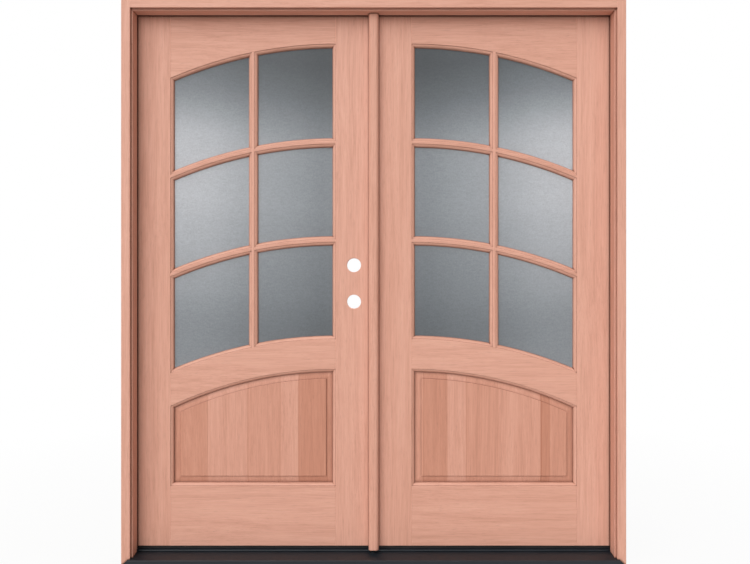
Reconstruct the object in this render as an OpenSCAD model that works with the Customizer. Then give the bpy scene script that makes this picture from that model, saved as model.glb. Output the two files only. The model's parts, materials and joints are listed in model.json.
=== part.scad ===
// Arched glass double door in its rabbeted frame, inswing, without the wall.
// X runs across the doorway, Y from outside to inside and Z up.
// The origin is the middle of the frame's foot. Each leaf is drawn in its own corner:
// x from the hinge edge, y from the outside face, z from the foot.

/* [Leaves] */
// Width of one leaf
leaf_w = 908; // [780:1:960]
// Height of a leaf
leaf_h = 2032; // [1960:1:2200]
// Thickness of a leaf
leaf_t = 44.5; // [43:0.5:57]
// Face width of the upright stiles
stile_w = 139.5; // [125:0.5:160]
// Height of the top rail at the crown of its arch
top_rail_h = 120; // [100:1:180]
// Height of the middle rail, equal all along its arch
middle_rail_h = 114; // [100:1:150]
// Height of the middle rail's upper edge at its crown, above the leaf's foot
middle_rail_z = 787; // [740:1:830]
// Height of the bottom rail
bottom_rail_h = 227; // [190:1:260]
// Rise of every arch from the hinge stile to the meeting stile
arch_rise = 130; // [80:1:160]
// Length of the tenons in the stiles
tenon_l = 50; // [30:1:55]

/* [Moulded edge] */
// Width of the moulded edge round glass and panel
stick_w = 12.5; // [11:0.5:15]
// Depth from the face to the seat of the glass
stick_d = 14; // [12:0.5:16]
// Step between the face and the quarter round
quirk = 2; // [1:0.5:3]
// Thickness of the flat nose under the quarter round
nose_t = 1; // [0.8:0.1:2]
// Least width of the flat nose
nose_w = 1.5; // [1:0.5:3]

/* [Glazing] */
// Width of the flat on a glazing bar
bar_flat = 11; // [8:0.5:20]
// Thickness of one glass sheet
glass_t = 3.2; // [2:0.1:4]
// Room between the edge of a glass unit and the wood round it
glass_gap = 3; // [1:0.5:5]
// Width of the spacer round the edge of a glass unit
spacer_w = 7; // [5:0.5:9]

/* [Raised panel] */
// Depth of the field behind the leaf's face
panel_set = 6; // [3:0.5:9]
// Step round the edge of the field
field_step = 3.5; // [1:0.5:4.5]
// Width of the bevel between moulded edge and field
bevel_w = 24; // [15:1:40]
// Room round the panel in its grooves
panel_gap = 2; // [1:0.5:4]

/* [Frame] */
// Depth of the frame from outside to inside
jamb_depth = 116; // [114:1:160]
// Thickness of the frame behind a leaf's edge
jamb_t = 19; // [17:0.5:25]
// Width of the frame's front face
jamb_face_w = 32; // [28:0.5:45]
// Width of the small step beside the front face
step_w = 6.5; // [4:0.5:10]
// Depth of that step behind the front face
step_d = 13; // [6:0.5:20]
// Gap round a leaf
edge_gap = 3; // [2.5:0.1:5]
// Room for the weatherstrip between stop and leaf
strip_room = 13; // [9:0.5:16]

/* [Sill] */
// Height of the threshold under the leaves
threshold_h = 30; // [28:0.5:40]
// Thickness of the threshold cap
cap_t = 5; // [4:0.5:8]
// Height of the sill's nose
nose_h = 18; // [14:0.5:20]
// Reach of the nose in front of the frame
nose_reach = 10; // [6:1:25]
// Lean of the nose's face back to its foot
nose_lean = 5; // [0:0.5:8]
// Thickness of the deck's metal
deck_t = 2; // [1.5:0.1:3]
// Gap between threshold and leaf
foot_gap = 12; // [10:0.5:16]

/* [Astragal] */
// Width of the astragal
astragal_w = 38; // [34:1:50]
// Reach of the astragal in front of the leaves
astragal_reach = 36; // [24:1:45]
// Radius of its two front corners
astragal_r = 13; // [5:0.5:16]
// Thickness of its stem between the leaves
stem_t = 8; // [6:0.5:12]
// Bevel angle of the active leaf's meeting edge
edge_bevel = 3; // [2:0.5:5]

/* [Lock bores] */
// Diameter of the two lock bores
lock_d = 54; // [40:0.5:66]
// Distance of the lock bores from the meeting edge
backset = 70; // [60:1:75]
// Height of the lower bore above the leaf's foot
lock_z = 929; // [900:1:960]
// Distance between the two bores
lock_pitch = 140; // [120:1:180]
// Diameter of the latch bores in the edge
latch_d = 25.4; // [22:0.1:27]

/* [Hinges] */
// Height of a butt hinge
hinge_h = 101.6; // [76:0.1:115]
// Thickness of a hinge plate
plate_t = 2.5; // [2:0.1:3]
// Depth of a hinge plate in the wood
plate_w = 32; // [26:0.5:38]
// Diameter of the knuckles
knuckle_d = 13; // [11:0.5:14]
// Diameter of the hinge pin
pin_d = 7; // [5:0.1:8]
// Top hinge below the leaf's top
hinge_top = 178; // [150:1:250]
// Bottom hinge above the leaf's foot
hinge_foot = 279; // [200:1:300]

/* [Flush bolts] */
// Diameter of a sliding bolt
bolt_d = 9.5; // [8:0.1:11]
// Length of a sliding bolt
bolt_l = 255; // [200:1:320]
// Travel of a sliding bolt
bolt_travel = 18; // [10:0.5:20]

/* [Clearances] */
// Gap between parts that move past each other
slide_gap = 0.3; // [0.2:0.05:0.6]
// Gap between parts that are seated
seat_gap = 0.2; // [0.1:0.05:0.25]
// Radial gap of a pin in its knuckles
pin_gap = 0.05; // [0.02:0.01:0.09]

/* [Hidden] */
$fn = 64;
arc_fn = 720;
root = 1;
past = 1;

wood = [0.86, 0.66, 0.58];
panel_wood = [0.82, 0.60, 0.52];
dark_metal = [0.23, 0.22, 0.23];
rubber_black = [0.10, 0.08, 0.08];
glass_grey = [0.66, 0.70, 0.74, 0.5];
spacer_grey = [0.55, 0.56, 0.58];
bronze = [0.36, 0.28, 0.22];
core_brown = [0.55, 0.45, 0.36];

// Frame layout
frame_front = -jamb_depth / 2;
frame_back = jamb_depth / 2;
stop_w = jamb_face_w + step_w;
meeting_half = (stem_t + edge_gap) / 2;
edge_half = meeting_half + leaf_w;
rabbet_half = edge_half + edge_gap;
frame_half = rabbet_half + jamb_t;
stop_half = frame_half - stop_w;
leaf_y = frame_back - leaf_t;
leaf_z = threshold_h + foot_gap;
leaf_top = leaf_z + leaf_h;
rabbet_top = leaf_top + edge_gap;
frame_h = rabbet_top + jamb_t;
stop_top = frame_h - stop_w;
stop_back = leaf_y - strip_room;

// Leaf layout
open_x0 = stile_w;
open_x1 = leaf_w - stile_w;
open_w = open_x1 - open_x0;
bar_x = (open_x0 + open_x1) / 2;
lite_top = leaf_h - top_rail_h;
bar_pitch = (lite_top - middle_rail_z) / 3;
bar_crowns = [lite_top - bar_pitch, lite_top - 2 * bar_pitch];
panel_arch = [middle_rail_z, -middle_rail_h];
panel_crown = middle_rail_z - middle_rail_h;

// One arc serves every arched edge: its crown stands at the meeting stile
arch_r = (open_w * open_w + arch_rise * arch_rise) / (2 * arch_rise);
arch_x = open_x1;
arch_over = 3;
arch_from = 90 - arch_over;
arch_sweep = asin(open_w / arch_r) + 2 * arch_over;

// Each lite row's upper and lower edge, as crown height and offset from the arc
row_tops = [[lite_top, 0], [bar_crowns[0], -bar_flat / 2], [bar_crowns[1], -bar_flat / 2]];
row_feet = [[bar_crowns[0], bar_flat / 2], [bar_crowns[1], bar_flat / 2], [middle_rail_z, 0]];
col_x0 = [open_x0, bar_x + bar_flat / 2];
col_x1 = [bar_x - bar_flat / 2, open_x1];

ovolo_r = min(stick_w - nose_w, stick_d - quirk - nose_t);
seat_y = stick_d + seat_gap;
unit_t = leaf_t - 2 * seat_y;
tongue_x = stick_w - panel_gap;
wedge_set = 4;
ledge_w = 0.5;
mitre_gap = 0.3;

// Rail tenons: height at the hinge stile, height at the meeting stile, size
tenon_h = 70;
tenons = [
    [leaf_h - top_rail_h / 2, leaf_h - top_rail_h / 2, tenon_h],
    [middle_rail_z - arch_rise - middle_rail_h / 2, middle_rail_z - middle_rail_h / 2, tenon_h],
    [bottom_rail_h / 2, bottom_rail_h / 2, bottom_rail_h / 2],
];

// Hinge layout
pin_half = (rabbet_half + edge_half) / 2;
knuckle_lift = 0.5;
pin_y = frame_back + knuckle_d / 2 + knuckle_lift;
hinge_zs = [
    hinge_foot + hinge_h / 2,
    (hinge_foot + leaf_h - hinge_top) / 2,
    leaf_h - hinge_top - hinge_h / 2,
];
knuckle_n = 5;
knuckle_l = hinge_h / knuckle_n;
screw_head_d = 8;
screw_d = 4.4;
screw_skin = 1.5;
frame_screw_l = jamb_t - screw_skin;
leaf_screw_l = 25;
screw_rows = [-0.38, -0.14, 0.14, 0.38];
screw_cols = [0.35, 0.7];
frame_screw_set = 20;

// Flush bolt layout, in the passive leaf
bolt_x = 12;
bolt_y = leaf_t / 2;
bolt_set = 1;
arm_w = 6;
arm_h = 8;
arm_set = 30;
arm_z = bolt_l - arm_set;
bolt_plate = [3, 24, 80];
bolt_hole_d = bolt_d + 2;
bolt_hole_depth = bolt_travel - edge_gap + past;
bolt_well_z = leaf_z - bolt_travel - foot_gap / 2;

// Weatherstrip layout, in from the frame's outer face
strip_set = 1;
strip_lap = 2;
strip_x = stop_w - strip_set;
strip_w = strip_x - jamb_t - edge_gap - strip_lap;
fin_w = 2.6;
fin_d = 8;
bulb_r = 5;

// Sill layout
deck_top = threshold_h - cap_t;
cap_set = 2;
cap_front = stop_back + cap_set;
nose_front = frame_front - nose_reach;
bend_step = 15;
horn_lap = 8;
horn_half = frame_half - jamb_face_w + horn_lap;
horn_toe = 3;

// Astragal layout
astragal_drop = 5;
astragal_room = 1.5;
astragal_foot = leaf_z - astragal_drop;
astragal_top = stop_top - astragal_room;
cap_lift = 2;
stem_set = 4;
stem_back = frame_back - stem_set;
stem_x = meeting_half - stem_t;
seal_w = 6;
seal_set = 8;
seal_x = seal_set - astragal_w / 2;

// Placing helpers

module right_hand(right) {
    if (right) mirror([1, 0, 0]) children();
    else children();
}

module in_leaf(right) {
    right_hand(right) translate([-edge_half, leaf_y, leaf_z]) children();
}

// Turns the outside face of a leaf to its room face
module room_face() {
    translate([0, leaf_t, 0]) mirror([0, 1, 0]) children();
}

module turned(inside) {
    if (inside) room_face() children();
    else children();
}

// Stands an outline drawn in x and z up as a slab from one depth to another
module slab(y0, y1) {
    translate([0, y1, 0]) rotate([90, 0, 0]) linear_extrude(y1 - y0) children();
}

// Runs a section drawn in y and z along x
module along_x(length) {
    rotate([90, 0, 90]) linear_extrude(length) children();
}

// Sweeps a section drawn in radius and depth along the common arc
module along_arch(crown, offset, sweep = arch_sweep) {
    translate([arch_x, 0, crown - arch_r]) rotate([90, 0, 0]) rotate([0, 0, arch_from])
        rotate_extrude(angle = sweep, $fn = arc_fn)
            translate([arch_r + offset, 0]) mirror([0, 1]) children();
}

// Everything under the common arc with its crown at a height
module under_arch(crown, offset) {
    translate([arch_x, crown - arch_r]) circle(arch_r + offset, $fn = arc_fn);
}

// The outline between two arcs and two uprights, drawn back by a gap
module arched_field(x0, x1, top, foot, gap) {
    difference() {
        intersection() {
            translate([x0 + gap, 0]) square([x1 - x0 - 2 * gap, leaf_h]);
            under_arch(top[0], top[1] - gap);
        }
        under_arch(foot[0], foot[1] + gap);
    }
}

// Moulded edge: x runs out from the member's edge, y down from its face

module stick_profile(overlap = 0) {
    translate([-overlap, quirk + ovolo_r]) square([ovolo_r + overlap, stick_d - quirk - ovolo_r]);
    translate([-overlap, stick_d - nose_t]) square([stick_w + overlap, nose_t]);
    if (overlap > 0) translate([-overlap, quirk]) square([overlap, stick_d - quirk]);
    intersection() {
        translate([0, quirk + ovolo_r]) circle(ovolo_r);
        square([ovolo_r, quirk + ovolo_r]);
    }
}

module upright_lip(x, leftward, overlap = 0) {
    translate([x, 0, 0]) mirror([leftward ? 1 : 0, 0, 0]) linear_extrude(leaf_h) stick_profile(overlap);
}

module arched_lip(crown, offset, downward, overlap = 0) {
    along_arch(crown, offset) mirror([downward ? 1 : 0, 0]) stick_profile(overlap);
}

module level_lip(overlap = 0) {
    translate([open_x0, 0, bottom_rail_h]) along_x(open_w) mirror([1, -1]) stick_profile(overlap);
}

// Height of an arched edge over a point of the leaf's width
function arch_z(edge, x) = edge[0] - arch_r + sqrt(pow(arch_r + edge[1], 2) - pow(x - arch_x, 2));
function moved(edge, by) = [edge[0], edge[1] + by];

// The part of an opening that belongs to an upright moulding: w is its width, negative to the left
module mitred_side(x, w, top, foot_z, foot_inner_z) {
    inner_x = x + w;
    back_x = x - sign(w) * root;
    polygon([
        [back_x, arch_z(top, x)], [x, arch_z(top, x)], [inner_x, arch_z(moved(top, -stick_w), inner_x)],
        [inner_x, foot_inner_z], [x, foot_z], [back_x, foot_z],
    ]);
}

module lite_side(x, w, row) {
    foot = row_feet[row];
    mitred_side(x, w, row_tops[row], arch_z(foot, x), arch_z(moved(foot, stick_w), x + w));
}

module panel_side(x, w) {
    mitred_side(x, w, panel_arch, bottom_rail_h, bottom_rail_h + stick_w);
}

module all_through() {
    slab(-past, leaf_t + past) children();
}

// Upright moulding of a stile or bar beside the glass
module lite_upright(x, w) {
    intersection() {
        upright_lip(x, w < 0, root);
        all_through() for (row = [0 : 2]) lite_side(x, w, row);
    }
}

// Upright mouldings of a stile beside the panel, on both faces
module panel_upright(x, w) {
    for (inside = [false, true]) turned(inside) intersection() {
        upright_lip(x, w < 0, root);
        all_through() panel_side(x, w);
    }
}

// Moulding along the upper or lower edge of one lite
module lite_edge(col, row, upper) {
    edge = upper ? row_tops[row] : row_feet[row];
    difference() {
        intersection() {
            arched_lip(edge[0], edge[1], upper, root);
            column_block(col_x0[col], col_x1[col]);
        }
        all_through() {
            lite_side(col_x0[col], stick_w, row);
            lite_side(col_x1[col], -stick_w, row);
        }
    }
}

// Mitres the children at both ends of the panel opening, on both faces
module panel_edge() {
    for (inside = [false, true]) turned(inside) difference() {
        children();
        all_through() {
            panel_side(open_x0, stick_w);
            panel_side(open_x1, -stick_w);
        }
    }
}

module column_block(x0, x1) {
    translate([x0, -past, 0]) cube([x1 - x0, leaf_t + 2 * past, leaf_h]);
}

// Screw along +x with its countersunk head flush at x = 0
module screw(length, gap = 0) {
    rotate([0, 90, 0]) {
        cylinder(h = length + gap, d = screw_d + 2 * gap);
        cylinder(h = plate_t, d1 = screw_head_d + 2 * gap, d2 = screw_d + 2 * gap);
    }
}

// Four staggered screws of every hinge on one side
module hinge_screw_places() {
    for (z = hinge_zs, i = [0 : 3])
        translate([0, frame_back - plate_w * screw_cols[i % 2], leaf_z + z + screw_rows[i] * hinge_h])
            children();
}

module frame_hinge_screws(gap = 0) {
    hinge_screw_places() translate([-rabbet_half, 0, 0]) mirror([1, 0, 0]) screw(frame_screw_l, gap);
}

module leaf_hinge_screws(gap = 0) {
    hinge_screw_places() translate([-edge_half, 0, 0]) screw(leaf_screw_l, gap);
}

// Frame

// Section of the frame: x in from the outer face, y from outside to inside
module jamb_outline() {
    translate([0, frame_front]) square([jamb_t, jamb_depth]);
    translate([0, frame_front]) square([jamb_face_w, stop_back - frame_front]);
    translate([0, frame_front + step_d]) square([stop_w, stop_back - frame_front - step_d]);
}

module frame_profile() {
    difference() {
        jamb_outline();
        strip_fin(seat_gap);
    }
}

module strip_fin(gap) {
    translate([strip_x - strip_w / 2 - fin_w / 2 - gap, stop_back - fin_d - gap])
        square([fin_w + 2 * gap, fin_d + gap + past]);
}

// Section of the compression strip, in the frame section's own axes
module strip_profile() {
    bulb_d = strip_room - slide_gap;
    strip_fin(0);
    translate([strip_x - strip_w, stop_back]) square([strip_w, bulb_d - bulb_r]);
    translate([strip_x - strip_w + bulb_r, stop_back]) square([strip_w - 2 * bulb_r, bulb_d]);
    for (x = [strip_x - strip_w + bulb_r, strip_x - bulb_r])
        translate([x, stop_back + bulb_d - bulb_r]) circle(bulb_r);
}

module frame_upright(z1) {
    translate([-frame_half, 0, 0]) linear_extrude(z1) children();
}

// Head-fixing and sill-fixing screws through one jamb
module jamb_screws(gap = 0) {
    for (y = [frame_front + frame_screw_set, frame_back - frame_screw_set])
        for (z = [frame_h - jamb_t / 2, nose_h / 2])
            translate([-frame_half, y, z]) screw(jamb_t + leaf_screw_l, gap);
}

module hinge_mortise(x, z) {
    translate([x, frame_back - plate_w - seat_gap, z - hinge_h / 2 - seat_gap])
        cube([plate_t + seat_gap, plate_w + seat_gap + past, hinge_h + 2 * seat_gap]);
}

module jamb() {
    difference() {
        frame_upright(frame_h) frame_profile();
        for (z = hinge_zs) hinge_mortise(-rabbet_half - plate_t - seat_gap, leaf_z + z);
        frame_hinge_screws(pin_gap);
        jamb_screws(pin_gap);
    }
}

module left_jamb() { color(wood) jamb(); }
module right_jamb() { color(wood) right_hand(true) jamb(); }

module bolt_hole(z, depth) {
    translate([meeting_half + bolt_x, leaf_y + bolt_y, z]) cylinder(h = depth, d = bolt_hole_d);
}

// Turns the frame's section to hang from the top of the frame
module head_section() {
    mirror([1, -1]) mirror([1, 0]) children();
}

module head_jamb() {
    color(wood) difference() {
        translate([-rabbet_half, 0, frame_h]) along_x(2 * rabbet_half)
            head_section() frame_profile();
        for (right = [false, true])
            right_hand(right) frame_upright(frame_h + past) jamb_outline();
        for (right = [false, true]) right_hand(right) jamb_screws(pin_gap);
        bolt_hole(rabbet_top - past, bolt_hole_depth + past);
    }
}

module side_strip() {
    translate([0, 0, threshold_h + seat_gap])
        frame_upright(rabbet_top - threshold_h - 2 * seat_gap) strip_profile();
}

module left_weatherstrip() { color(rubber_black) side_strip(); }
module right_weatherstrip() { color(rubber_black) right_hand(true) side_strip(); }

module head_weatherstrip() {
    half = stop_half - seat_gap;
    color(rubber_black) translate([-half, 0, frame_h]) along_x(2 * half) head_section() strip_profile();
}

module frame_screws() {
    color(bronze) for (right = [false, true]) right_hand(right) jamb_screws();
}

// Sill

// Section of the bent deck in y and z, rounded at its nose
module deck_profile() {
    bend_y = nose_front + deck_t;
    bend_z = nose_h - deck_t;
    polygon(concat(
        [[bend_y, bend_z], [bend_y + nose_lean, 0], [nose_front + nose_lean, 0]],
        [for (a = [180 : -bend_step : 90]) [bend_y + deck_t * cos(a), bend_z + deck_t * sin(a)]],
        [[cap_front, deck_top], [frame_back, deck_top]],
        [[frame_back, deck_top - deck_t], [cap_front, deck_top - deck_t]]
    ));
}

// Section of the core that fills the deck
module core_profile() {
    core_front = nose_front + deck_t + seat_gap;
    core_top = deck_top - deck_t - seat_gap;
    polygon([
        [core_front + nose_lean, 0], [core_front, nose_h - deck_t - seat_gap],
        [cap_front, core_top], [frame_back, core_top], [frame_back, 0],
    ]);
}

// What is cut off the slanted end of a horn, in x and z
module horn_offcut() {
    polygon([
        [-frame_half, -past], [horn_toe - frame_half, -past], [-horn_half, nose_h],
        [-horn_half, leaf_z], [-frame_half, leaf_z],
    ]);
}

// Cuts a sill piece to its length between the jambs, with horns in front of their feet
module between_jambs() {
    half = frame_half - past;
    difference() {
        translate([-half, 0, 0]) along_x(2 * half) children();
        for (right = [false, true]) right_hand(right) {
            translate([0, 0, -past]) frame_upright(frame_h) jamb_outline();
            slab(nose_front - past, frame_front + past) horn_offcut();
        }
    }
}

module sill_deck() {
    color(dark_metal) difference() {
        between_jambs() deck_profile();
        bolt_hole(0, threshold_h);
    }
}

module sill_substrate() {
    color(core_brown) difference() {
        between_jambs() core_profile();
        for (right = [false, true]) right_hand(right) jamb_screws(pin_gap);
        bolt_hole(bolt_well_z, threshold_h);
    }
}

module threshold_cap() {
    edge_r = cap_t / 2;
    color(dark_metal) difference() {
        between_jambs() {
            translate([cap_front + edge_r, deck_top]) square([frame_back - cap_front - 2 * edge_r, cap_t]);
            for (y = [cap_front + edge_r, frame_back - edge_r])
                translate([y, deck_top + edge_r]) circle(edge_r);
        }
        bolt_hole(0, threshold_h + past);
    }
}

// Hinges

module knuckles(first) {
    for (i = [first : 2 : knuckle_n - 1])
        translate([0, 0, i * knuckle_l - hinge_h / 2 + slide_gap / 2])
            cylinder(h = knuckle_l - slide_gap, d = knuckle_d);
}

module knuckle_room(first) {
    for (i = [first : 2 : knuckle_n - 1])
        translate([0, 0, i * knuckle_l - hinge_h / 2 - slide_gap / 2])
            cylinder(h = knuckle_l + slide_gap, d = knuckle_d + 2 * slide_gap);
}

// One hinge plate with its knuckles, round the pin's own axis
module hinge_plate(plate_x, own, other) {
    difference() {
        union() {
            translate([plate_x, frame_back - plate_w - pin_y, -hinge_h / 2])
                cube([plate_t, plate_w + pin_y - frame_back, hinge_h]);
            knuckles(own);
        }
        knuckle_room(other);
        translate([0, 0, -hinge_h]) cylinder(h = 2 * hinge_h, d = pin_d + 2 * pin_gap);
    }
}

module at_hinges() {
    for (z = hinge_zs) translate([-pin_half, pin_y, leaf_z + z]) children();
}

module frame_plates() {
    difference() {
        at_hinges() hinge_plate(pin_half - rabbet_half - plate_t, 0, 1);
        frame_hinge_screws(pin_gap);
    }
}

module leaf_plates() {
    difference() {
        at_hinges() hinge_plate(pin_half - edge_half, 1, 0);
        leaf_hinge_screws(pin_gap);
    }
}

// Pin with a button head at each end
module hinge_pins() {
    button_h = 3;
    at_hinges() {
        translate([0, 0, -hinge_h / 2]) cylinder(h = hinge_h, d = pin_d);
        for (down = [0, 1]) mirror([0, 0, down]) translate([0, 0, hinge_h / 2])
            rotate_extrude() intersection() {
                square([knuckle_d / 2, button_h]);
                translate([0, button_h - knuckle_d / 2]) circle(knuckle_d / 2);
            }
    }
}

module left_hinge_frame_plates() { color(bronze) frame_plates(); }
module right_hinge_frame_plates() { color(bronze) right_hand(true) frame_plates(); }
module left_hinge_pins() { color(bronze) hinge_pins(); }
module right_hinge_pins() { color(bronze) right_hand(true) hinge_pins(); }
module hinge_frame_screws() {
    color(bronze) for (right = [false, true]) right_hand(right) frame_hinge_screws();
}
module leaf_hinge_plates(right) { color(bronze) right_hand(right) leaf_plates(); }
module leaf_screws(right) { color(bronze) right_hand(right) leaf_hinge_screws(); }

// Leaves

module tenon_block(x0, z, h, gap) {
    translate([x0 - gap, seat_y - gap, z - h / 2 - gap])
        cube([tenon_l + 2 * gap + root, unit_t + 2 * gap, h + 2 * gap]);
}

// Tenons of the rail with this number, at both stiles
module rail_tenons(rail, gap = 0) {
    tenon_block(open_x0 - tenon_l, tenons[rail][0], tenons[rail][2], gap);
    tenon_block(open_x1 - root, tenons[rail][1], tenons[rail][2], gap);
}

module stile_mortises() {
    for (rail = [0 : 2]) rail_tenons(rail, seat_gap);
}

module hinge_stile() {
    difference() {
        union() {
            cube([stile_w, leaf_t, leaf_h]);
            lite_upright(open_x0, stick_w);
            panel_upright(open_x0, stick_w);
        }
        stile_mortises();
        translate([edge_half, -leaf_y, -leaf_z]) {
            for (z = hinge_zs) hinge_mortise(-edge_half, leaf_z + z);
            leaf_hinge_screws(pin_gap);
        }
    }
}

// Stile at the meeting edge, whose edge leans back towards the outside face
module meeting_stile(bevel) {
    difference() {
        union() {
            linear_extrude(leaf_h) polygon([
                [open_x1, 0], [leaf_w - leaf_t * tan(bevel), 0], [leaf_w, leaf_t], [open_x1, leaf_t],
            ]);
            lite_upright(open_x1, -stick_w);
            panel_upright(open_x1, -stick_w);
        }
        stile_mortises();
    }
}

// Lock bores through the face, each met by a latch bore from the edge
module lock_bores() {
    for (z = [lock_z, lock_z + lock_pitch]) translate([leaf_w - backset, leaf_t / 2, z]) {
        rotate([90, 0, 0]) cylinder(h = leaf_t + 2 * past, d = lock_d, center = true);
        rotate([0, 90, 0]) cylinder(h = backset + stem_t + edge_gap + past, d = latch_d);
    }
}

module lock_stile() {
    difference() {
        meeting_stile(edge_bevel);
        lock_bores();
    }
}

// Puts the children at the top flush bolt and, turned over, at the bottom one
module at_bolt(top) {
    translate([leaf_w - bolt_x, bolt_y, top ? leaf_h : 0]) mirror([0, 0, top ? 0 : 1]) children();
}

module bolt_pocket() {
    translate([0, 0, -bolt_l - bolt_set - slide_gap])
        cylinder(h = bolt_l + bolt_set + past + slide_gap, d = bolt_d + 2 * slide_gap);
    translate([0, -arm_w / 2 - slide_gap, -arm_z - bolt_set - slide_gap])
        cube([bolt_x + stem_t, arm_w + 2 * slide_gap, arm_h + bolt_travel + 2 * slide_gap]);
}

module plate_block(gap) {
    face_past = gap > 0 ? past : 0;
    face_x = bolt_x + stem_t;
    translate([face_x - bolt_plate[0] - gap, -bolt_plate[1] / 2 - gap, -arm_z - bolt_plate[2] / 2 - gap])
        cube([bolt_plate[0] + gap + face_past, bolt_plate[1] + 2 * gap, bolt_plate[2] + 2 * gap]);
}

module passive_stile() {
    difference() {
        meeting_stile(0);
        at_bolt(true) bolt_pocket();
        at_bolt(false) bolt_pocket();
    }
}

module top_rail() {
    slab(0, leaf_t) difference() {
        translate([open_x0, lite_top - arch_rise - root]) square([open_w, top_rail_h + arch_rise + root]);
        under_arch(lite_top, 0);
    }
    for (col = [0, 1]) lite_edge(col, 0, true);
    rail_tenons(0);
}

module middle_rail() {
    slab(0, leaf_t) arched_field(open_x0, open_x1, [middle_rail_z, 0], panel_arch, 0);
    for (col = [0, 1]) lite_edge(col, 2, false);
    panel_edge() intersection() {
        arched_lip(panel_arch[0], panel_arch[1], true, root);
        column_block(open_x0, open_x1);
    }
    rail_tenons(1);
}

module bottom_rail() {
    translate([open_x0, 0, 0]) cube([open_w, leaf_t, bottom_rail_h]);
    panel_edge() level_lip(root);
    rail_tenons(2);
}

// Outline of the panel, drawn in from its edge
module panel_outline(inset) {
    edge = panel_gap + inset;
    intersection() {
        translate([open_x0 + edge, bottom_rail_h + edge]) square([open_w - 2 * edge, panel_crown - bottom_rail_h]);
        under_arch(panel_arch[0], panel_arch[1] - edge);
    }
}

// Wedge between the bevels of both faces: x in from the panel's edge, y down from the face
module bevel_section() {
    slope = (seat_y - panel_set - field_step) / bevel_w;
    near_y = seat_y + slope * (tongue_x - wedge_set);
    far_y = near_y - slope * (open_w - wedge_set);
    polygon([
        [wedge_set, near_y], [open_w, far_y], [open_w, leaf_t - far_y], [wedge_set, leaf_t - near_y],
    ]);
}

// The four wedges meet in mitred bevels, cut off level under the field
module panel_bevels() {
    ledge_y = panel_set + field_step;
    intersection() {
        translate([open_x0, ledge_y, 0]) cube([open_w, leaf_t - 2 * ledge_y, leaf_h]);
        translate([open_x0 + panel_gap, 0, 0]) linear_extrude(leaf_h) bevel_section();
        translate([open_x1 - panel_gap, 0, 0]) mirror([1, 0, 0]) linear_extrude(leaf_h) bevel_section();
        translate([open_x0, 0, bottom_rail_h + panel_gap]) along_x(open_w) mirror([1, -1]) bevel_section();
        along_arch(panel_arch[0], panel_arch[1] - panel_gap, 2 * arch_sweep) mirror([1, 0]) bevel_section();
    }
}

module raised_panel() {
    slab(seat_y, leaf_t - seat_y) panel_outline(0);
    slab(panel_set, leaf_t - panel_set) panel_outline(tongue_x + bevel_w + ledge_w);
    panel_bevels();
}

module upright_bar() {
    slab(0, leaf_t) arched_field(col_x1[0], col_x0[1], [lite_top, 0], [middle_rail_z, 0], 0);
    lite_upright(col_x1[0], -stick_w);
    lite_upright(col_x0[1], stick_w);
}

// One length of an arched bar, mitred to the stile and to the upright bar
module arched_bar(bar, col) {
    slab(0, leaf_t) arched_field(col_x0[col], col_x1[col], row_feet[bar], row_tops[bar + 1], 0);
    lite_edge(col, bar, false);
    lite_edge(col, bar + 1, true);
}

// A slab for each of the six lites of a leaf, or a ring where hollow is set
module lite_slabs(y0, y1, gap, hollow = 0) {
    for (col = [0, 1], row = [0 : 2]) slab(y0, y1) difference() {
        arched_field(col_x0[col], col_x1[col], row_tops[row], row_feet[row], gap);
        if (hollow > 0) arched_field(col_x0[col], col_x1[col], row_tops[row], row_feet[row], gap + hollow);
    }
}

module outer_glass() { lite_slabs(seat_y, seat_y + glass_t, glass_gap); }
module inner_glass() { lite_slabs(leaf_t - seat_y - glass_t, leaf_t - seat_y, glass_gap); }
module glass_spacers() { lite_slabs(seat_y + glass_t, leaf_t - seat_y - glass_t, glass_gap, spacer_w); }

// The part of a lite that belongs to an upright bead
module bead_side(x, w, row) {
    top = moved(row_tops[row], -mitre_gap);
    foot = moved(row_feet[row], mitre_gap);
    seat_x = x + sign(w) * seat_gap;
    inner_x = x + w + sign(w) * past;
    inner_w = stick_w + past;
    polygon([
        [seat_x, arch_z(moved(top, -seat_gap), seat_x)], [inner_x, arch_z(moved(top, -inner_w), inner_x)],
        [inner_x, arch_z(moved(foot, inner_w), inner_x)], [seat_x, arch_z(moved(foot, seat_gap), seat_x)],
    ]);
}

// Four beads of one lite, mitred at its corners
module lite_beads(col, row) {
    x0 = col_x0[col];
    x1 = col_x1[col];
    for (right = [false, true]) intersection() {
        upright_lip(right ? x1 : x0, right, root);
        all_through() bead_side(right ? x1 : x0, right ? -stick_w : stick_w, row);
    }
    for (upper = [false, true]) difference() {
        edge = upper ? row_tops[row] : row_feet[row];
        intersection() {
            arched_lip(edge[0], edge[1], upper, root);
            all_through() arched_field(x0, x1, row_tops[row], row_feet[row], seat_gap);
        }
        all_through() {
            lite_side(x0, stick_w, row);
            lite_side(x1, -stick_w, row);
        }
    }
}

module glazing_beads() {
    room_face() for (col = [0, 1], row = [0 : 2]) lite_beads(col, row);
}

// Sweep with three fins under a leaf
module door_sweep() {
    base_t = 3;
    fin_t = 1.6;
    inset = 4;
    end_set = 1;
    translate([end_set, 0, 0]) along_x(leaf_w - leaf_t * tan(edge_bevel) - 2 * end_set) {
        translate([inset, -base_t]) square([leaf_t - 2 * inset, base_t]);
        for (y = [inset, (leaf_t - fin_t) / 2, leaf_t - inset - fin_t])
            translate([y, -foot_gap + slide_gap]) square([fin_t, foot_gap - slide_gap]);
    }
}

module passive_sweep() {
    difference() {
        door_sweep();
        translate([leaf_w - bolt_x, bolt_y, -foot_gap]) cylinder(h = foot_gap, d = bolt_hole_d);
    }
}

// Astragal and its seal, in the frame's own axes

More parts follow.
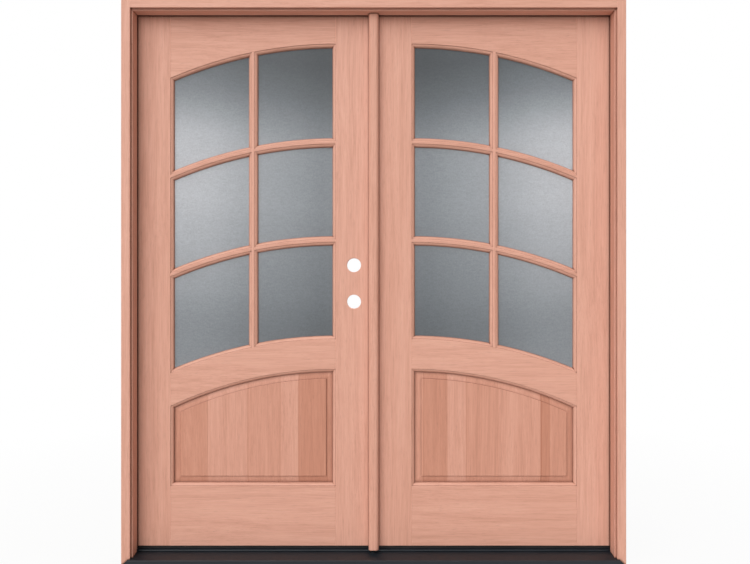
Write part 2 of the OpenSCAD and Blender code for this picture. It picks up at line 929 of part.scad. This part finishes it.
module astragal_profile() {
    front = leaf_y - astragal_reach;
    half = astragal_w / 2;
    difference() {
        union() {
            translate([-half, front + astragal_r])
                square([astragal_w, astragal_reach - astragal_r - cap_lift]);
            translate([astragal_r - half, front]) square([astragal_w - 2 * astragal_r, astragal_r]);
            for (x = [astragal_r - half, half - astragal_r])
                translate([x, front + astragal_r]) circle(astragal_r);
            translate([stem_x, leaf_y - cap_lift - root]) square([half - stem_x, cap_lift + root]);
            translate([stem_x, leaf_y - root]) square([stem_t, 2 * root]);
        }
        seal_fin(seat_gap);
    }
}

module seal_fin(gap) {
    translate([seal_x - fin_w / 2 - gap, leaf_y - cap_lift - fin_d - gap])
        square([fin_w + 2 * gap, fin_d + gap + past]);
}

module astragal() {
    color(wood) difference() {
        union() {
            translate([0, 0, astragal_foot]) linear_extrude(astragal_top - astragal_foot) astragal_profile();
            translate([stem_x, leaf_y, leaf_z]) cube([stem_t, stem_back - leaf_y, leaf_h]);
        }
        in_leaf(false) lock_bores();
        in_leaf(true) for (top = [true, false]) at_bolt(top) {
            bolt_pocket();
            plate_block(seat_gap);
        }
    }
}

module astragal_seal() {
    room = cap_lift - slide_gap;
    color(rubber_black) translate([0, 0, astragal_foot]) linear_extrude(astragal_top - astragal_foot) {
        seal_fin(0);
        translate([seal_x - seal_w / 2, leaf_y - cap_lift]) square([seal_w, room]);
    }
}

// Flush bolts, in the passive leaf

module face_plate(top) {
    color(bronze) in_leaf(true) at_bolt(top) difference() {
        plate_block(0);
        bolt_pocket();
    }
}

// Rod with the arm that carries its thumb slide
module flush_bolt(top) {
    color(bronze) in_leaf(true) at_bolt(top) {
        translate([0, 0, -bolt_l - bolt_set]) cylinder(h = bolt_l, d = bolt_d);
        translate([0, -arm_w / 2, -arm_z - bolt_set]) cube([bolt_x + stem_t - seat_gap, arm_w, arm_h]);
    }
}

left_jamb();
right_jamb();
head_jamb();
sill_deck();
sill_substrate();
threshold_cap();
left_weatherstrip();
right_weatherstrip();
head_weatherstrip();
frame_screws();
left_hinge_frame_plates();
right_hinge_frame_plates();
left_hinge_pins();
right_hinge_pins();
hinge_frame_screws();
color(wood) in_leaf(false) hinge_stile();  // active_hinge_stile
color(wood) in_leaf(false) lock_stile();  // active_lock_stile
color(wood) in_leaf(false) top_rail();  // active_top_rail
color(wood) in_leaf(false) middle_rail();  // active_middle_rail
color(wood) in_leaf(false) bottom_rail();  // active_bottom_rail
color(panel_wood) in_leaf(false) raised_panel();  // active_panel
color(wood) in_leaf(false) upright_bar();  // active_upright_bar
color(wood) in_leaf(false) arched_bar(0, 0);  // active_upper_bar_outer
color(wood) in_leaf(false) arched_bar(0, 1);  // active_upper_bar_inner
color(wood) in_leaf(false) arched_bar(1, 0);  // active_lower_bar_outer
color(wood) in_leaf(false) arched_bar(1, 1);  // active_lower_bar_inner
color(glass_grey) in_leaf(false) outer_glass();  // active_outer_glass
color(glass_grey) in_leaf(false) inner_glass();  // active_inner_glass
color(spacer_grey) in_leaf(false) glass_spacers();  // active_glass_spacers
color(wood) in_leaf(false) glazing_beads();  // active_glazing_beads
color(rubber_black) in_leaf(false) door_sweep();  // active_door_sweep
leaf_hinge_plates(false);  // active_hinge_plates
leaf_screws(false);  // active_hinge_screws
color(wood) in_leaf(true) hinge_stile();  // passive_hinge_stile
color(wood) in_leaf(true) passive_stile();  // passive_meeting_stile
color(wood) in_leaf(true) top_rail();  // passive_top_rail
color(wood) in_leaf(true) middle_rail();  // passive_middle_rail
color(wood) in_leaf(true) bottom_rail();  // passive_bottom_rail
color(panel_wood) in_leaf(true) raised_panel();  // passive_panel
color(wood) in_leaf(true) upright_bar();  // passive_upright_bar
color(wood) in_leaf(true) arched_bar(0, 0);  // passive_upper_bar_outer
color(wood) in_leaf(true) arched_bar(0, 1);  // passive_upper_bar_inner
color(wood) in_leaf(true) arched_bar(1, 0);  // passive_lower_bar_outer
color(wood) in_leaf(true) arched_bar(1, 1);  // passive_lower_bar_inner
color(glass_grey) in_leaf(true) outer_glass();  // passive_outer_glass
color(glass_grey) in_leaf(true) inner_glass();  // passive_inner_glass
color(spacer_grey) in_leaf(true) glass_spacers();  // passive_glass_spacers
color(wood) in_leaf(true) glazing_beads();  // passive_glazing_beads
color(rubber_black) in_leaf(true) passive_sweep();  // passive_door_sweep
leaf_hinge_plates(true);  // passive_hinge_plates
leaf_screws(true);  // passive_hinge_screws
astragal();
astragal_seal();
face_plate(true);  // top_bolt_plate
face_plate(false);  // bottom_bolt_plate
flush_bolt(true);  // top_bolt
flush_bolt(false);  // bottom_bolt
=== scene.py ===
import json
import math
import random

import bpy
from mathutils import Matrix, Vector


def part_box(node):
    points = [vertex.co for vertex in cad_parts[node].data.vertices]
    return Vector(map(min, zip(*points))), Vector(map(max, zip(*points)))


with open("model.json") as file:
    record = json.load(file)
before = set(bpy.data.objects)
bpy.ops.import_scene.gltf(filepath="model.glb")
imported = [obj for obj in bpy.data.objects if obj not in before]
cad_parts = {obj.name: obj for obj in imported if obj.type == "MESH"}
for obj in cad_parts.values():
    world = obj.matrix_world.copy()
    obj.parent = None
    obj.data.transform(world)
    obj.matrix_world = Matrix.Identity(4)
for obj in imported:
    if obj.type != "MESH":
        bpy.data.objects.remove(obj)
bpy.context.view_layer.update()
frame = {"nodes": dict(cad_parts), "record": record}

nodes = frame["nodes"]
scene = bpy.context.scene

# Camera: level and straight in front of the leaves, as the photograph was taken
IMAGE_W = 750
FOCAL_PX = 676.5
SENSOR_W = 36.0
CAMERA_AT = (0.0050, -2.5640, 1.0464)
CAMERA_TILT = math.radians(90)

# Lamps: strength, direction in which the light travels, and apparent size in degrees
LAMPS = {
    "key": (2.15, (0.48, 1.0, -0.64), 62),
    "fill": (0.45, (0.0, 1.0, -0.40), 70),
    "top": (0.50, (0.30, 0.25, -1.0), 30),
    "rear": (2.2, (-0.45, -1.0, -0.80), 50),
}
WORLD_STRENGTH = 0.25
WORLD_COLOUR = (1.0, 0.88, 0.79)
WHITE = (1.0, 1.0, 1.0)

# Floor: white to the camera but for a share near the part, which keeps the part's shadow
FLOOR_SIZE = 14.0
FLOOR_COLOUR = (0.46, 0.45, 0.44)
FLOOR_WHITE = 0.93
FLOOR_FADE = (0.9, 3.0)

# Ranges of values: the whole range of a factor, and the part of it where most of a noise lies
UNIT = (0.0, 1.0)
MIDDLE = (0.3, 0.7)

# Sockets of a Mix node that blends colours: factor, first, second, and its result
BLEND_INPUTS = (0, 6, 7)
BLEND_RESULT = 2

# Below, a noise is its scale, detail and roughness, and a bump is its strength and its height in metres

# Bare sanded mahogany: its tones from the grain's valleys to its ridges
GRAIN_TONES = [(0.28, (0.560, 0.280, 0.200)), (0.50, (0.672, 0.354, 0.264)), (0.72, (0.740, 0.415, 0.318))]
GRAIN_STRETCH = 1.0 / 30
SWAY_STRETCH = 0.2
SWAY_NOISE = (5.0, 1.0, 0.5)
SWAY = (-0.02, 0.02)
BAND_NOISE = (42.0, 3.0, 0.55)
FIBRE_NOISE = (260.0, 3.0, 0.6)
FIBRE_SHARE = 0.55
PORE_NOISE = (900.0, 1.0, 0.5)
PORE_RANGE = (0.60, 0.74)
PORE_SHADE = 0.82
PORE_DEPTH = 0.6
WOOD_ROUGH = (0.60, 0.46)
WOOD_SPECULAR = 0.35
WOOD_BUMP = (0.25, 0.0004)

# Each board has its own place in the grain and its own tone. A darker board is redder too.
SEED_ROOM = 40.0
BOARD_TONES = (0.96, 1.03)
TONE_POWERS = (0.6, 1.0, 1.3)

# Painted shade, darker where corners are tight, and a painted highlight, paler along every arris
PAINTED_SHADE_SAMPLES = 6
PAINTED_SHADE_REACH = 0.007
DEEP_PAINTED_SHADE_REACH = 0.014
PAINTED_SHADE_TONE = (0.24, 0.125, 0.08)
PAINTED_SHADE_RANGE = (0.40, 0.94)
EDGE_SAMPLES = 4
EDGE_RADIUS = 0.0028
ARRIS_TURN = (1.0, 0.8)
ARRIS_HIGHLIGHT_GAIN = 1.30

# Panel staves: left edge in metres from the left end of the panel, and tone
ACTIVE_STAVES = [(0.0, 0.88), (0.135, 1.10), (0.290, 1.00), (0.413, 1.09), (0.482, 0.80), (0.590, 0.88)]
PASSIVE_STAVES = [
    (0.0, 0.97), (0.040, 0.86), (0.132, 1.10), (0.205, 0.97), (0.326, 1.05), (0.490, 0.78), (0.521, 0.93),
]
LAST_STAVE_W = 0.2
STAVE_SHIFT = (31.0, 17.0, 23.0)
PANEL_TINT = (0.91, 0.845, 0.805)
JOINT_W = 0.003
JOINT_SHADE = 0.82

# Obscure glass: painted light and shade, its tone falling off upwards, downwards and towards the meeting
# stiles, and its pale part leaning upwards towards the hinges; its shaded and lit tones are painted light
# and shade too
GLASS_IOR = 1.5
GLASS_SHADED = (0.446, 0.520, 0.578)
GLASS_LIT = (0.530, 0.555, 0.590)
GLASS_LEAN = 0.08
PAINTED_GLASS_LIGHT_BY_HEIGHT = [
    (0.827, 0.51), (0.962, 0.665), (1.232, 0.94), (1.382, 1.06),
    (1.562, 0.99), (1.652, 0.68), (1.732, 0.46), (1.862, 0.22),
]
PAINTED_GLASS_LIGHT_BY_SIDE = [(0.196, 0.48), (0.31, 0.64), (0.427, 0.71), (0.52, 0.80), (0.627, 0.98), (0.743, 1.0)]
HAMMER_NOISE = (190.0, 2.0, 0.55)
RIPPLE_NOISE = (520.0, 2.0, 0.5)
RIPPLE_DEPTH = 0.35
WAVE_NOISE = (55.0, 3.0, 0.6)
WAVE_STRETCH = (1.0, 1.0, 3.2)
WAVE_SHARE = 0.4
DAPPLE = (0.86, 1.14)
OBSCURE_ROUGH = (0.30, 0.42)
OBSCURE_SPECULAR = 0.20
OBSCURE_CLEARNESS = 0.20
OBSCURE_BUMP = (0.35, 0.002)

# Clear glass of the room side
FLOAT_NOISE = (9.0, 1.0, 0.5)
FLOAT_STRETCH = (1.0, 1.0, 0.2)
CLEAR_TONES = [(0.0, (0.93, 0.96, 0.95)), (1.0, (0.97, 0.985, 0.98))]
CLEAR_ROUGH = (0.0, 0.03)

# Metal: dark and pale tone, share of metal, roughness, and the stretch of the drawn lines
DRAWN_X = (0.03, 1.0, 1.0)
DRAWN_Z = (1.0, 1.0, 0.05)
METALS = {
    "spacer_metal": ((0.42, 0.43, 0.45), (0.60, 0.61, 0.62), 0.9, 0.38, DRAWN_X),
    "sill_metal": ((0.005, 0.009, 0.013), (0.011, 0.016, 0.022), 0.0, 0.40, DRAWN_X),
    "bronze_metal": ((0.055, 0.040, 0.030), (0.120, 0.088, 0.064), 0.8, 0.40, DRAWN_Z),
}
DRAWN_NOISE = (300.0, 3.0, 0.6)
CLOUD_NOISE = (22.0, 3.0, 0.6)
CLOUD_SHARE = 0.5
# Painted shade in the corners of metal: its reach, the range of openness it acts on, and its darkest and
# plain levels
METAL_PAINTED_SHADE_REACH = 0.008
METAL_PAINTED_SHADE_RANGE = (0.2, 0.8)
METAL_SHADES = (0.35, 1.0)
METAL_EDGE = 0.0006
METAL_ROUGH_STEP = 0.08
METAL_SPECULAR = 0.35
METAL_BUMP = (0.12, 0.0003)

# Rubber: bloom and dust are paler than the rubber
SEAL_TONE = (0.016, 0.007, 0.004)
SWEEP_TONE = (0.010, 0.008, 0.008)
RUBBER_NOISE = (700.0, 2.0, 0.5)
DUST_NOISE = (14.0, 3.0, 0.6)
DUST_RANGE = (0.35, 0.75)
DUST_GAIN = 1.6
DUST_LIFT = 0.004
RUBBER_ROUGH = (0.62, 0.78)
RUBBER_SPECULAR = 0.25
RUBBER_BUMP = (0.2, 0.0003)

# Pressed fibre under the sill
FLAKE_NOISE = (160.0, 3.0, 0.6)
FLAKE_STRETCH = (0.3, 1.0, 1.0)
CORE_TONES = [(0.3, (0.20, 0.14, 0.09)), (0.7, (0.33, 0.24, 0.17))]
CORE_ROUGH = (0.80, 0.68)
CORE_BUMP = (0.3, 0.0006)

# Words in the names of nodes: members whose grain runs across, and members that lie back from the face,
# which get a deeper painted shade in their corners
LEVEL_MEMBERS = ("head_jamb", "_rail", "_bar_outer", "_bar_inner", "_beads")
DEEP_SHADE_MEMBERS = ("_panel", "_bar")
STAVES = {"active_panel": ACTIVE_STAVES, "passive_panel": PASSIVE_STAVES}
BOARD_SEED = 11


def opaque(colour):
    return (*colour, 1.0)


class Tree:
    """A node tree, written from its inputs to its surface."""

    def __init__(self, owner):
        owner.use_nodes = True
        self.tree = owner.node_tree
        self.tree.nodes.clear()

    def put(self, socket, value):
        if isinstance(value, bpy.types.NodeSocket):
            self.tree.links.new(value, socket)
        else:
            socket.default_value = value

    def node(self, kind, settings=None, **inputs):
        """Adds a node. An input that is a socket is linked, any other one is set."""
        made = self.tree.nodes.new("ShaderNode" + kind)
        for key, value in (settings or {}).items():
            setattr(made, key, value)
        for key, value in inputs.items():
            self.put(made.inputs[key.replace("_", " ")], value)
        return made

    def numbered(self, kind, settings, values, places=None):
        """Adds a node whose inputs go by their numbers, from the first one on or in the given places."""
        made = self.node(kind, settings)
        for place, value in zip(places or range(len(values)), values):
            self.put(made.inputs[place], value)
        return made

    def math(self, operation, *values):
        return self.numbered("Math", {"operation": operation}, values).outputs[0]

    def vector(self, operation, *values):
        return self.numbered("VectorMath", {"operation": operation}, values).outputs["Vector"]

    def measure(self, operation, *values):
        """A number taken from vectors."""
        return self.numbered("VectorMath", {"operation": operation}, values).outputs["Value"]

    def object_place(self):
        return self.node("TexCoord").outputs["Object"]

    def axis(self, place, name):
        return self.node("SeparateXYZ", Vector=place).outputs[name]

    def span(self, value, source, target=UNIT):
        """Moves a value from one range to another, and holds it there."""
        low, high = source
        to_low, to_high = target
        made = self.node("MapRange", Value=value, From_Min=low, From_Max=high, To_Min=to_low, To_Max=to_high)
        return made.outputs["Result"]

    def mixed(self, factor, first, second):
        """Mixes two shaders."""
        return self.numbered("MixShader", None, (factor, first, second)).outputs[0]

    def shows_background(self):
        """Is 1 for the rays that show the background: from the camera, a gloss or a glass."""
        path = self.node("LightPath").outputs
        shown = self.math("MAXIMUM", path["Is Camera Ray"], path["Is Glossy Ray"])
        return self.math("MAXIMUM", shown, path["Is Transmission Ray"])


class Shader(Tree):
    """One material."""

    def __init__(self, name):
        self.material = bpy.data.materials.new(name)
        super().__init__(self.material)

    def noise(self, place, pattern):
        scale, detail, rough = pattern
        made = self.node("TexNoise", Vector=place, Scale=scale, Detail=detail, Roughness=rough)
        return made.outputs["Fac"]

    def shared_out(self, first, second, share):
        """The sum of two values, in which the second one has the given share."""
        rest = self.math("MULTIPLY", first, 1.0 - share)
        return self.math("ADD", rest, self.math("MULTIPLY", second, share))

    def ramp(self, value, stops, interpolation="LINEAR"):
        """A colour ramp whose stops are places from 0 to 1 with colours or single values."""
        made = self.node("ValToRGB", Fac=value)
        band = made.color_ramp
        band.interpolation = interpolation
        for _ in stops[2:]:
            band.elements.new(1.0)
        for element, (place, colour) in zip(band.elements, stops):
            element.position = place
            element.color = opaque(colour if isinstance(colour, tuple) else (colour, colour, colour))
        return made.outputs["Color"]

    def blend(self, factor, first, second):
        """Mixes two colours."""
        values = (factor, opaque(first), opaque(second))
        return self.numbered("Mix", {"data_type": "RGBA"}, values, BLEND_INPUTS).outputs[BLEND_RESULT]

    def bump(self, height, depth, normal=None):
        strength, distance = depth
        made = self.node("Bump", Height=height, Strength=strength, Distance=distance)
        if normal is not None:
            self.put(made.inputs["Normal"], normal)
        return made.outputs["Normal"]

    def soft_edges(self, radius):
        return self.node("Bevel", {"samples": EDGE_SAMPLES}, Radius=radius).outputs["Normal"]

    def arrises(self, rounded):
        """How sharp an edge is: 0 on a face, 1 along an arris."""
        face = self.node("NewGeometry").outputs["Normal"]
        return self.span(self.measure("DOT_PRODUCT", face, rounded), ARRIS_TURN)

    def openness(self, shade_reach):
        """How open a place is: 0 in a tight corner, 1 on an open face."""
        return self.node("AmbientOcclusion", {"samples": PAINTED_SHADE_SAMPLES}, Distance=shade_reach).outputs["AO"]

    def surface(self, **inputs):
        shader = self.node("BsdfPrincipled", **inputs)
        self.node("OutputMaterial", Surface=shader.outputs["BSDF"])
        return self.material


def spread(stops):
    """Moves stops to the range from 0 to 1 and gives them with the range they came from."""
    low, high = stops[0][0], stops[-1][0]
    return [((place - low) / (high - low), value) for place, value in stops], (low, high)


def toned(tone):
    """The tint of a board."""
    return tuple(tone ** power for power in TONE_POWERS)


def glued(staves, end):
    """Ramp stops for a panel glued up from staves, each with a dark joint along its left edge."""
    stops = []
    for edge, tone in staves:
        stops += [(edge / end, toned(tone * JOINT_SHADE)), ((edge + JOINT_W) / end, toned(tone))]
    return stops


def wood(name, along, seed, tone, shade_reach, staves, start):
    """Mahogany with its grain along an axis, in one board or in staves that each have their own tone."""
    make = Shader(name)
    place = make.object_place()
    shift = make.vector("ADD", place, seed)
    shade = toned(tone)
    if staves:
        end = staves[-1][0] + LAST_STAVE_W
        across = make.span(make.axis(place, "X"), (start, start + end))
        shade = make.vector("MULTIPLY", make.ramp(across, glued(staves, end), "CONSTANT"), PANEL_TINT)
        shift = make.vector("ADD", shift, make.vector("MULTIPLY", shade, STAVE_SHIFT))
    scale = (GRAIN_STRETCH, 1.0, 1.0) if along == "X" else (1.0, 1.0, GRAIN_STRETCH)
    slow = make.vector("MULTIPLY", shift, tuple(max(size, SWAY_STRETCH) for size in scale))
    sway = make.span(make.noise(slow, SWAY_NOISE), UNIT, SWAY)
    fine = make.vector("ADD", make.vector("MULTIPLY", shift, scale), sway)
    bands = make.noise(fine, BAND_NOISE)
    fibres = make.noise(fine, FIBRE_NOISE)
    pores = make.span(make.noise(fine, PORE_NOISE), PORE_RANGE)
    colour = make.ramp(make.shared_out(bands, fibres, FIBRE_SHARE), GRAIN_TONES)
    colour = make.vector("MULTIPLY", colour, make.span(pores, UNIT, (1.0, PORE_SHADE)))
    colour = make.vector("MULTIPLY", colour, shade)
    # Painted shade: the wood darkens towards a dark brown in tight corners and recesses
    unshaded_share = make.span(make.openness(shade_reach), PAINTED_SHADE_RANGE)
    colour = make.vector("MULTIPLY", colour, make.blend(unshaded_share, PAINTED_SHADE_TONE, WHITE))
    rounded = make.soft_edges(EDGE_RADIUS)
    # Painted highlight: every arris is paler, by up to 30 per cent
    painted_edge_highlight = make.span(make.arrises(rounded), UNIT, (1.0, ARRIS_HIGHLIGHT_GAIN))
    height = make.math("SUBTRACT", fibres, make.math("MULTIPLY", pores, PORE_DEPTH))
    return make.surface(
        Base_Color=make.vector("MULTIPLY", colour, painted_edge_highlight),
        Roughness=make.span(fibres, MIDDLE, WOOD_ROUGH),
        Specular_IOR_Level=WOOD_SPECULAR,
        Normal=make.bump(height, WOOD_BUMP, rounded),
    )


def obscure_glass(name):
    """Hammered grey glass that hides what is behind it, with painted light and shade that fall off upwards,
    downwards and towards the meeting stiles.
    """
    make = Shader(name)
    place = make.object_place()
    side = make.math("ABSOLUTE", make.axis(place, "X"))
    rise = make.math("SUBTRACT", make.axis(place, "Z"), make.math("MULTIPLY", side, GLASS_LEAN))
    by_height, heights = spread(PAINTED_GLASS_LIGHT_BY_HEIGHT)
    by_side, sides = spread(PAINTED_GLASS_LIGHT_BY_SIDE)
    upward = make.ramp(make.span(rise, heights), by_height, "B_SPLINE")
    outward = make.ramp(make.span(side, sides), by_side, "B_SPLINE")
    # Painted light and shade on the glass: brightest at mid height and towards the hinges
    light = make.math("MULTIPLY", upward, outward)
    hammer = make.noise(place, HAMMER_NOISE)
    ripple = make.noise(place, RIPPLE_NOISE)
    waves = make.noise(make.vector("MULTIPLY", place, WAVE_STRETCH), WAVE_NOISE)
    mottle = make.shared_out(hammer, waves, WAVE_SHARE)
    dapple = make.math("MULTIPLY", light, make.span(mottle, MIDDLE, DAPPLE))
    height = make.math("ADD", mottle, make.math("MULTIPLY", ripple, RIPPLE_DEPTH))
    return make.surface(
        Base_Color=make.vector("MULTIPLY", make.blend(light, GLASS_SHADED, GLASS_LIT), dapple),
        Roughness=make.span(ripple, MIDDLE, OBSCURE_ROUGH),
        IOR=GLASS_IOR,
        Specular_IOR_Level=OBSCURE_SPECULAR,
        Transmission_Weight=OBSCURE_CLEARNESS,
        Normal=make.bump(height, OBSCURE_BUMP),
    )


def clear_glass(name):
    make = Shader(name)
    lines = make.noise(make.vector("MULTIPLY", make.object_place(), FLOAT_STRETCH), FLOAT_NOISE)
    return make.surface(
        Base_Color=make.ramp(lines, CLEAR_TONES),
        Roughness=make.span(lines, UNIT, CLEAR_ROUGH),
        IOR=GLASS_IOR,
        Transmission_Weight=1.0,
    )


def metal(name, dark, pale, metallic, rough, stretch):
    """Metal with fine drawn lines, cloudy where it is handled, and with painted shade in its corners."""
    make = Shader(name)
    place = make.object_place()
    drawn = make.noise(make.vector("MULTIPLY", place, stretch), DRAWN_NOISE)
    wear = make.shared_out(drawn, make.noise(place, CLOUD_NOISE), CLOUD_SHARE)
    colour = make.ramp(wear, list(zip(MIDDLE, (dark, pale))))
    # Painted shade: the metal darkens in its corners
    unshaded_share = make.span(make.openness(METAL_PAINTED_SHADE_REACH), METAL_PAINTED_SHADE_RANGE, METAL_SHADES)
    return make.surface(
        Base_Color=make.vector("MULTIPLY", colour, unshaded_share),
        Metallic=metallic,
        Roughness=make.span(wear, MIDDLE, (rough - METAL_ROUGH_STEP, rough + METAL_ROUGH_STEP)),
        Specular_IOR_Level=METAL_SPECULAR,
        Normal=make.bump(drawn, METAL_BUMP, make.soft_edges(METAL_EDGE)),
    )


def rubber(name, colour):
    make = Shader(name)
    place = make.object_place()
    grain = make.noise(place, RUBBER_NOISE)
    dusty = tuple(part * DUST_GAIN + DUST_LIFT for part in colour)
    return make.surface(
        Base_Color=make.ramp(make.noise(place, DUST_NOISE), list(zip(DUST_RANGE, (colour, dusty)))),
        Roughness=make.span(grain, MIDDLE, RUBBER_ROUGH),
        Specular_IOR_Level=RUBBER_SPECULAR,
        Normal=make.bump(grain, RUBBER_BUMP),
    )


def core(name):
    make = Shader(name)
    flakes = make.noise(make.vector("MULTIPLY", make.object_place(), FLAKE_STRETCH), FLAKE_NOISE)
    return make.surface(
        Base_Color=make.ramp(flakes, CORE_TONES),
        Roughness=make.span(flakes, MIDDLE, CORE_ROUGH),
        Normal=make.bump(flakes, CORE_BUMP),
    )


shared = {name: metal(name, *look) for name, look in METALS.items()}
shared["textured_glass"] = obscure_glass("obscure_glass")
shared["clear_glass"] = clear_glass("clear_glass")
shared["sill_core"] = core("sill_core")
shared["seal_rubber"] = rubber("seal_rubber", SEAL_TONE)
sweep_rubber = rubber("sweep_rubber", SWEEP_TONE)
draw = random.Random(BOARD_SEED)


def dress(node, slot):
    """A CAD node's material: each wooden one is a board of its own, the rest share theirs by slot."""
    if "sweep" in node:
        return sweep_rubber
    if not slot.endswith("_wood"):
        return shared[slot]
    seed = tuple(draw.uniform(-SEED_ROOM, SEED_ROOM) for _ in range(3))
    tone = draw.uniform(*BOARD_TONES)
    along = "X" if any(word in node for word in LEVEL_MEMBERS) else "Z"
    # Panels and glazing bars get a painted shade that reaches further from their corners
    shade_reach = DEEP_PAINTED_SHADE_REACH if any(word in node for word in DEEP_SHADE_MEMBERS) else PAINTED_SHADE_REACH
    return wood(node + "_wood", along, seed, tone, shade_reach, STAVES.get(node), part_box(node)[0].x)


for part in frame["record"]["subparts"]:
    mesh = nodes[part["node"]].data
    mesh.materials.clear()
    mesh.materials.append(dress(part["node"], part["material_slot"]))


def set_world():
    """Soft light on the part, and white for the rays that show the background."""
    world = bpy.data.worlds.new("studio")
    scene.world = world
    make = Tree(world)
    soft = make.node("Background", Color=opaque(WORLD_COLOUR), Strength=WORLD_STRENGTH).outputs[0]
    white = make.node("Background", Color=opaque(WHITE), Strength=1.0).outputs[0]
    make.node("OutputWorld", Surface=make.mixed(make.shows_background(), soft, white))


def add_floor():
    half = FLOOR_SIZE / 2
    mesh = bpy.data.meshes.new("floor")
    corners = [(-half, -half, 0.0), (half, -half, 0.0), (half, half, 0.0), (-half, half, 0.0)]
    mesh.from_pydata(corners, [], [(0, 1, 2, 3)])
    floor = bpy.data.objects.new("floor", mesh)
    scene.collection.objects.link(floor)
    make = Shader("pale_floor")
    matt = make.node("BsdfDiffuse", Color=opaque(FLOOR_COLOUR)).outputs[0]
    white = make.node("Emission", Strength=1.0).outputs[0]
    distance = make.measure("LENGTH", make.object_place())
    white_share = make.span(distance, FLOOR_FADE, (FLOOR_WHITE, 1.0))
    factor = make.math("MULTIPLY", make.shows_background(), white_share)
    make.node("OutputMaterial", Surface=make.mixed(factor, matt, white))
    mesh.materials.append(make.material)


def add_lamp(name, strength, direction, size):
    lamp = bpy.data.objects.new(name, bpy.data.lights.new(name, "SUN"))
    lamp.data.energy = strength
    lamp.data.angle = math.radians(size)
    lamp.rotation_euler = Vector(direction).to_track_quat("-Z", "Y").to_euler()
    scene.collection.objects.link(lamp)


def add_camera():
    camera = bpy.data.objects.new("camera", bpy.data.cameras.new("camera"))
    camera.data.sensor_width = SENSOR_W
    camera.data.lens = FOCAL_PX / IMAGE_W * SENSOR_W
    camera.location = CAMERA_AT
    camera.rotation_euler = (CAMERA_TILT, 0.0, 0.0)
    scene.collection.objects.link(camera)
    scene.camera = camera


scene.view_settings.view_transform = "Standard"
set_world()
add_floor()
for lamp_name, lamp_look in LAMPS.items():
    add_lamp(lamp_name, *lamp_look)
add_camera()
